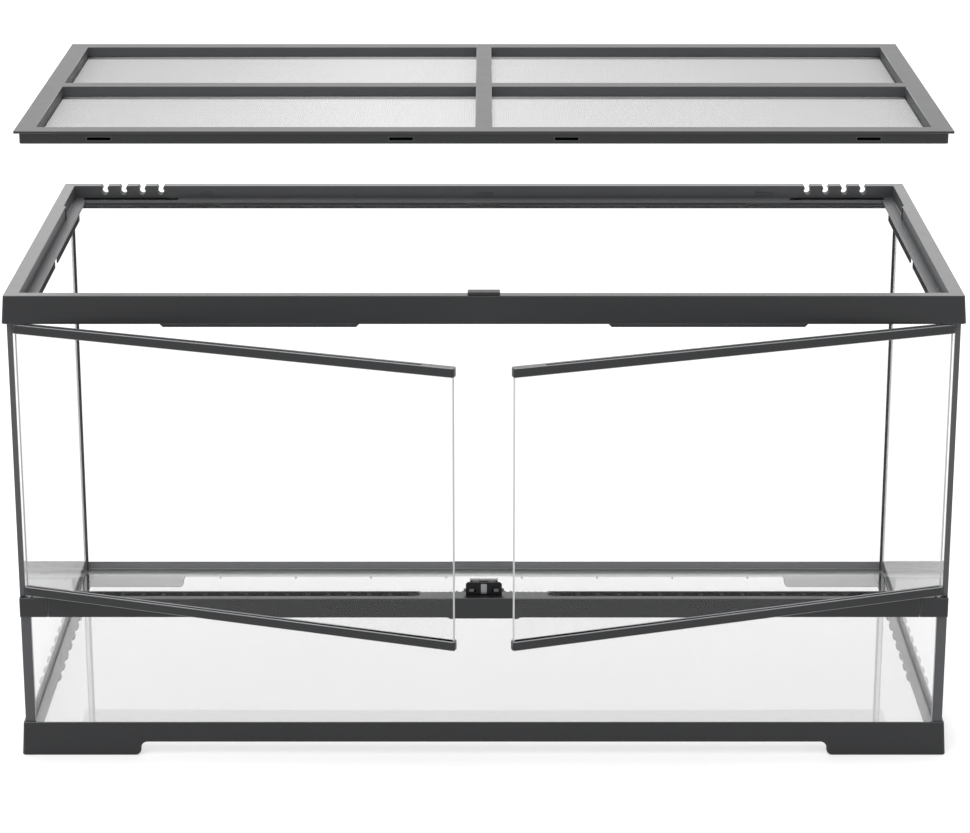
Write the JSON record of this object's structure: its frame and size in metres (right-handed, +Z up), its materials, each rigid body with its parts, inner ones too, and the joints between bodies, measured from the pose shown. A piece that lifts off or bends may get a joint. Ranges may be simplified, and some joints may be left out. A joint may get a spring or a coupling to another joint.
{
  "type": "reptile terrarium",
  "caption": "Wide glass terrarium with twin hinged front doors over a vent bar, black frames, rear cable inlets and a lift-off screen lid, shown with the doors ajar and the lid raised.",
  "frame": {"origin": "on the floor, under the middle of the product's bounding box with the doors ajar", "axes": "+Z up, +Y to the back of the tank, +X to the right as seen from the front"},
  "size_m": [0.9086, 0.5994, 0.6228],
  "materials": {
    "black_plastic": "satin moulded plastic with a fine grain",
    "dark_plastic": "satin moulded plastic",
    "grey_plastic": "ribbed satin plastic",
    "silicone": "black silicone bead",
    "clear_glass": "clear float glass with ground edges",
    "steel": "bright stainless steel",
    "steel_mesh": "fine woven stainless steel wire"
  },
  "bodies": {
    "tank": {"back_glass": "clear_glass", "base_frame": "black_plastic", "corner_seal_left": "silicone", "corner_seal_right": "silicone", "floor_glass": "clear_glass", "front_glass": "clear_glass", "latch_base": "dark_plastic", "latch_spring": "steel", "left_glass": "clear_glass", "lower_post_left": "black_plastic", "lower_post_right": "black_plastic", "right_glass": "clear_glass", "top_frame": "black_plastic", "upper_post_left": "black_plastic", "upper_post_right": "black_plastic", "vent_bar": "black_plastic", "vent_cap_left": "black_plastic", "vent_cap_right": "black_plastic", "vent_grille_left": "dark_plastic", "vent_grille_right": "dark_plastic"},
    "door_left": {"door_glass_left": "clear_glass", "door_top_rail_left": "black_plastic", "door_bottom_rail_left": "black_plastic", "door_pins_left": "steel", "door_keeper_left": "dark_plastic"},
    "shutter_left": {"inlet_shutter_left": "dark_plastic"},
    "catch_left": {"latch_catch_left": "dark_plastic"},
    "door_right": {"door_glass_right": "clear_glass", "door_top_rail_right": "black_plastic", "door_bottom_rail_right": "black_plastic", "door_pins_right": "steel", "door_keeper_right": "dark_plastic"},
    "shutter_right": {"inlet_shutter_right": "dark_plastic"},
    "catch_right": {"latch_catch_right": "dark_plastic"},
    "thumb": {"latch_thumb": "grey_plastic"},
    "lid": {"lid_frame": "black_plastic", "lid_clamp": "black_plastic", "lid_mesh": "steel_mesh"},
    "lock": {"lid_lock": "dark_plastic"}
  },
  "joints": [
    {"name": "door_left_swing", "type": "hinge", "parent": "tank", "child": "door_left", "pos_m": [-0.4407, -0.15335, 0.3], "axis": [0, 0, -1], "range_deg": [-19, 91]},
    {"name": "door_right_swing", "type": "hinge", "parent": "tank", "child": "door_right", "pos_m": [0.4407, -0.15335, 0.3], "axis": [0, 0, 1], "range_deg": [-19, 91]},
    {"name": "lid_lift", "type": "slide", "parent": "tank", "child": "lid", "axis": [0, 0, 1], "range_m": [-0.155, 0.05]},
    {"name": "lid_lock_slide", "type": "slide", "parent": "tank", "child": "lock", "axis": [0, 1, 0], "range_m": [0, 0.005]},
    {"name": "shutter_left_slide", "type": "slide", "parent": "tank", "child": "shutter_left", "axis": [1, 0, 0], "range_m": [0, 0.01]},
    {"name": "shutter_right_slide", "type": "slide", "parent": "tank", "child": "shutter_right", "axis": [-1, 0, 0], "range_m": [0, 0.01]},
    {"name": "latch_thumb_slide", "type": "slide", "parent": "tank", "child": "thumb", "axis": [0, 1, 0], "range_m": [0, 0.003], "stiffness_N_per_m": 60, "springref_m": -0.002},
    {"name": "catch_left_slide", "type": "slide", "parent": "tank", "child": "catch_left", "axis": [1, 0, 0], "range_m": [0, 0.0021]},
    {"name": "catch_right_slide", "type": "slide", "parent": "tank", "child": "catch_right", "axis": [-1, 0, 0], "range_m": [0, 0.0021]}
  ],
  "couplings": [
    {"joint": "catch_left_slide", "follows": "latch_thumb_slide", "ratio": 0.7},
    {"joint": "catch_right_slide", "follows": "latch_thumb_slide", "ratio": 0.7}
  ]
}
